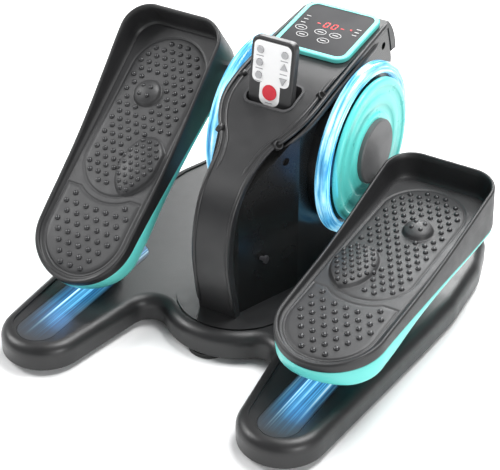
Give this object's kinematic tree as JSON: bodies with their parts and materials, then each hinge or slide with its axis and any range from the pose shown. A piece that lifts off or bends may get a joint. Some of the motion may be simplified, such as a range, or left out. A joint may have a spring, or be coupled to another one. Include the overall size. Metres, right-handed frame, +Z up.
{
  "type": "pedal exerciser",
  "caption": "Under-desk pedal exerciser: flat base with roller tracks, casing with lit crank discs, two tilting foot pedals, display and remote control in a pocket.",
  "frame": {"origin": "on the floor, at the middle of the machine's overall box", "axes": "+Z up, +Y away from the seated user towards the machine's back, +X to the user's right"},
  "size_m": [0.457, 0.48, 0.3195],
  "materials": {
    "case_plastic": "satin moulded",
    "pedal_plastic": "satin moulded",
    "turquoise": "smooth satin",
    "foot_pad": "studded, matte",
    "cap_grey": "fine texture",
    "light_ring": "clear blue, lit",
    "track": "fine lengthwise ribs",
    "foot_rubber": "matte",
    "steel": "brushed",
    "screw_steel": "blackened",
    "bushing": "plain",
    "roller_plastic": "smooth",
    "motor_steel": "satin",
    "circuit_board": "green board",
    "screen": "gloss",
    "remote_black": "satin",
    "remote_white": "satin",
    "key_grey": "soft",
    "key_red": "soft"
  },
  "bodies": {
    "machine": {"base_cover": "case_plastic", "base_plate": "steel", "rubber_feet": "foot_rubber", "foot_screws": "screw_steel", "track_left": "track", "track_right": "track", "frame_upright_left": "steel", "frame_upright_right": "steel", "bearing_left": "steel", "bearing_right": "steel", "frame_bolts": "screw_steel", "motor": "motor_steel", "motor_bracket": "steel", "drive_belt": "foot_rubber", "control_board": "circuit_board", "casing_left": "case_plastic", "casing_right": "case_plastic", "casing_screws": "screw_steel", "power_inlet": "remote_black", "strap_cover": "case_plastic", "pocket_liner": "remote_black", "display_bezel": "turquoise", "display_screen": "screen", "display_board": "circuit_board", "light_ring_left": "light_ring", "light_ring_right": "light_ring"},
    "crank": {"crankshaft": "steel", "crank_disc_left": "turquoise", "crank_disc_right": "turquoise", "hub_cap_left": "cap_grey", "hub_cap_right": "cap_grey", "crank_pins": "steel", "driven_pulley": "roller_plastic"},
    "rotor": {"motor_pulley": "roller_plastic"},
    "carriage_left": {"roller_axle_left": "steel"},
    "carriage_right": {"roller_axle_right": "steel"},
    "wheel_left": {"roller_left": "roller_plastic"},
    "wheel_right": {"roller_right": "roller_plastic"},
    "pedal_left": {"pedal_tray_left": "pedal_plastic", "pedal_pan_left": "turquoise", "foot_pad_left": "foot_pad", "roller_fork_left": "roller_plastic", "pedal_pin_left": "steel", "pin_bushes_left": "bushing"},
    "pedal_right": {"pedal_tray_right": "pedal_plastic", "pedal_pan_right": "turquoise", "foot_pad_right": "foot_pad", "roller_fork_right": "roller_plastic", "pedal_pin_right": "steel", "pin_bushes_right": "bushing"},
    "remote": {"remote_back": "remote_black", "remote_front": "remote_black", "remote_plate": "remote_white"},
    "key_a": {"remote_key_a": "key_grey"},
    "key_b": {"remote_key_b": "key_grey"},
    "key_c": {"remote_key_c": "key_grey"},
    "key_d": {"remote_key_d": "key_grey"},
    "key_up": {"remote_key_up": "key_grey"},
    "key_down": {"remote_key_down": "key_grey"},
    "key_stop": {"remote_key_stop": "key_red"}
  },
  "joints": [
    {"name": "crank_turn", "type": "hinge", "parent": "machine", "child": "crank", "pos_m": [0, 0.12, 0.17], "axis": [1, 0, 0], "continuous": true},
    {"name": "rotor_turn", "type": "hinge", "parent": "machine", "child": "rotor", "pos_m": [0, 0.028, 0.092], "axis": [1, 0, 0], "continuous": true},
    {"name": "glide_left", "type": "slide", "parent": "machine", "child": "carriage_left", "axis": [0, 1, 0], "range_m": [-0.0847, 0.0409]},
    {"name": "glide_right", "type": "slide", "parent": "machine", "child": "carriage_right", "axis": [0, 1, 0], "range_m": [-0.0409, 0.0847]},
    {"name": "tilt_left", "type": "hinge", "parent": "carriage_left", "child": "pedal_left", "pos_m": [-0.153, -0.07189, 0.05], "axis": [1, 0, 0], "range_deg": [-32.03, 0.28]},
    {"name": "tilt_right", "type": "hinge", "parent": "carriage_right", "child": "pedal_right", "pos_m": [0.153, -0.11562, 0.05], "axis": [1, 0, 0], "range_deg": [-0.28, 32.03]},
    {"name": "roll_left", "type": "hinge", "parent": "carriage_left", "child": "wheel_left", "pos_m": [-0.153, -0.07189, 0.05], "axis": [1, 0, 0], "continuous": true},
    {"name": "roll_right", "type": "hinge", "parent": "carriage_right", "child": "wheel_right", "pos_m": [0.153, -0.11562, 0.05], "axis": [1, 0, 0], "continuous": true},
    {"name": "remote_lift", "type": "slide", "parent": "machine", "child": "remote", "axis": [0, 0.1392, 0.9903], "range_m": [0, 0.06]},
    {"name": "key_a_press", "type": "slide", "parent": "remote", "child": "key_a", "axis": [0, -0.9903, 0.1392], "range_m": [-0.0011, 0], "stiffness_N_per_m": 250, "springref_m": 0.0004},
    {"name": "key_b_press", "type": "slide", "parent": "remote", "child": "key_b", "axis": [0, -0.9903, 0.1392], "range_m": [-0.0011, 0], "stiffness_N_per_m": 250, "springref_m": 0.0004},
    {"name": "key_c_press", "type": "slide", "parent": "remote", "child": "key_c", "axis": [0, -0.9903, 0.1392], "range_m": [-0.0011, 0], "stiffness_N_per_m": 250, "springref_m": 0.0004},
    {"name": "key_d_press", "type": "slide", "parent": "remote", "child": "key_d", "axis": [0, -0.9903, 0.1392], "range_m": [-0.0011, 0], "stiffness_N_per_m": 250, "springref_m": 0.0004},
    {"name": "key_up_press", "type": "slide", "parent": "remote", "child": "key_up", "axis": [0, -0.9903, 0.1392], "range_m": [-0.0011, 0], "stiffness_N_per_m": 250, "springref_m": 0.0004},
    {"name": "key_down_press", "type": "slide", "parent": "remote", "child": "key_down", "axis": [0, -0.9903, 0.1392], "range_m": [-0.0011, 0], "stiffness_N_per_m": 250, "springref_m": 0.0004},
    {"name": "key_stop_press", "type": "slide", "parent": "remote", "child": "key_stop", "axis": [0, -0.9903, 0.1392], "range_m": [-0.0011, 0], "stiffness_N_per_m": 250, "springref_m": 0.0004}
  ],
  "couplings": [
    {"joint": "rotor_turn", "follows": "crank_turn", "ratio": 4},
    {"joint": "glide_right", "follows": "glide_left", "ratio": -1},
    {"joint": "tilt_right", "follows": "tilt_left", "ratio": -1},
    {"joint": "roll_left", "follows": "glide_left", "rad_per_m": -62.5},
    {"joint": "roll_right", "follows": "glide_left", "rad_per_m": 62.5}
  ]
}
